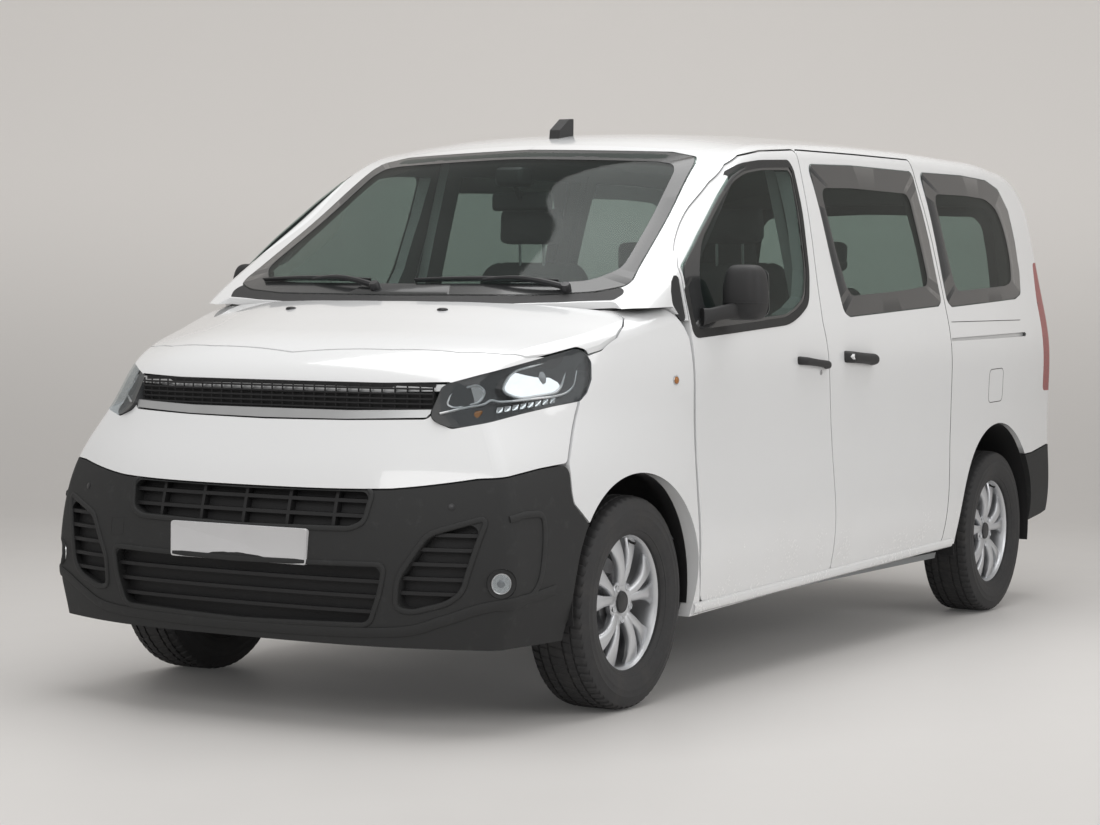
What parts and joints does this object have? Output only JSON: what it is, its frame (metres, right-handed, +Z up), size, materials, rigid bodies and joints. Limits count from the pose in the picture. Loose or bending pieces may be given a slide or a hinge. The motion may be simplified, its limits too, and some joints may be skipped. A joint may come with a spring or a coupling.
{
  "type": "minibus",
  "caption": "Van-based minibus with a hollow glazed cabin, rolling and steered wheels, hinged front doors, bonnet and tailgate, and fixed sliding side doors.",
  "frame": {"origin": "middle of the vehicle's length and width, on the ground", "axes": "+X forwards along the vehicle, +Y to its left, +Z up"},
  "size_m": [4.9669, 2.204, 1.9917],
  "materials": {
    "body_white": "gloss",
    "bumper_grey": "matte",
    "trim_black": "satin",
    "glass_green": "gloss",
    "lamp_clear": "gloss",
    "lamp_red": "gloss",
    "lamp_housing": "gloss",
    "satin_chrome": "satin",
    "mesh_black": "matte",
    "plate_grey": "satin",
    "tyre": "matte",
    "wheel_silver": "satin",
    "seat_cloth": "matte",
    "interior_dark": "matte",
    "floor_paint": "satin",
    "frame_paint": "satin",
    "cast_metal": "rough"
  },
  "bodies": {
    "root": {"body_side_left": "body_white", "body_side_right": "body_white", "roof_panel": "body_white", "windscreen_glass": "glass_green", "rear_bumper": "bumper_grey", "tail_lamps": "lamp_red", "sliding_doors": "body_white", "side_glass": "glass_green", "exterior_trim": "trim_black", "front_fascia": "body_white", "front_bumper": "bumper_grey", "front_fenders": "body_white", "headlamp_lenses": "lamp_clear", "headlamp_housings": "lamp_housing", "fog_lamps": "lamp_clear", "intake_mesh": "mesh_black", "grille_bars": "satin_chrome", "front_frame": "frame_paint", "floor_pan": "floor_paint", "number_plate_front": "plate_grey", "dashboard": "interior_dark", "front_seats": "seat_cloth", "rear_seats": "seat_cloth", "engine_block": "cast_metal", "front_subframe": "frame_paint", "fuel_tank": "interior_dark", "rear_axle": "frame_paint"},
    "bonnet": {"bonnet": "body_white"},
    "tailgate": {"tailgate_panel": "body_white", "tailgate_glass": "glass_green", "number_plate_rear": "plate_grey"},
    "front_door_left": {"front_door_panel_left": "body_white", "front_door_glass_left": "glass_green", "front_door_trim_left": "trim_black"},
    "knuckle_left": {"knuckle_left": "cast_metal"},
    "front_wheel_left": {"front_tyre_left": "tyre", "front_wheel_left": "wheel_silver"},
    "rear_wheel_left": {"rear_tyre_left": "tyre", "rear_wheel_left": "wheel_silver"},
    "front_door_right": {"front_door_panel_right": "body_white", "front_door_glass_right": "glass_green", "front_door_trim_right": "trim_black"},
    "knuckle_right": {"knuckle_right": "cast_metal"},
    "front_wheel_right": {"front_tyre_right": "tyre", "front_wheel_right": "wheel_silver"},
    "rear_wheel_right": {"rear_tyre_right": "tyre", "rear_wheel_right": "wheel_silver"}
  },
  "joints": [
    {"name": "front_door_hinge_left", "type": "hinge", "parent": "root", "child": "front_door_left", "pos_m": [1.27051, 0.962, 1], "axis": [0, 0, -1], "range_deg": [0, 70]},
    {"name": "steering_left", "type": "hinge", "parent": "root", "child": "knuckle_left", "pos_m": [1.5985, 0.73, 0.21], "axis": [0, -0.2177, 0.976], "range_deg": [-35, 35]},
    {"name": "front_wheel_spin_left", "type": "hinge", "parent": "knuckle_left", "child": "front_wheel_left", "pos_m": [1.5985, 0.8135, 0.345], "axis": [0, 1, 0], "continuous": true},
    {"name": "rear_wheel_spin_left", "type": "hinge", "parent": "root", "child": "rear_wheel_left", "pos_m": [-1.6765, 0.8135, 0.345], "axis": [0, 1, 0], "continuous": true},
    {"name": "front_door_hinge_right", "type": "hinge", "parent": "root", "child": "front_door_right", "pos_m": [1.27051, -0.962, 1], "axis": [0, 0, 1], "range_deg": [0, 70]},
    {"name": "steering_right", "type": "hinge", "parent": "root", "child": "knuckle_right", "pos_m": [1.5985, -0.73, 0.21], "axis": [0, 0.2177, 0.976], "range_deg": [-35, 35]},
    {"name": "front_wheel_spin_right", "type": "hinge", "parent": "knuckle_right", "child": "front_wheel_right", "pos_m": [1.5985, -0.8135, 0.345], "axis": [0, 1, 0], "continuous": true},
    {"name": "rear_wheel_spin_right", "type": "hinge", "parent": "root", "child": "rear_wheel_right", "pos_m": [-1.6765, -0.8135, 0.345], "axis": [0, 1, 0], "continuous": true},
    {"name": "bonnet_hinge", "type": "hinge", "parent": "root", "child": "bonnet", "pos_m": [1.49848, 0, 1.28999], "axis": [0, -1, 0], "range_deg": [0, 55]},
    {"name": "tailgate_hinge", "type": "hinge", "parent": "root", "child": "tailgate", "pos_m": [-2.31951, 0, 1.89401], "axis": [0, 1, 0], "range_deg": [0, 85]}
  ],
  "couplings": [
    {"joint": "steering_right", "follows": "steering_left", "ratio": 1}
  ]
}
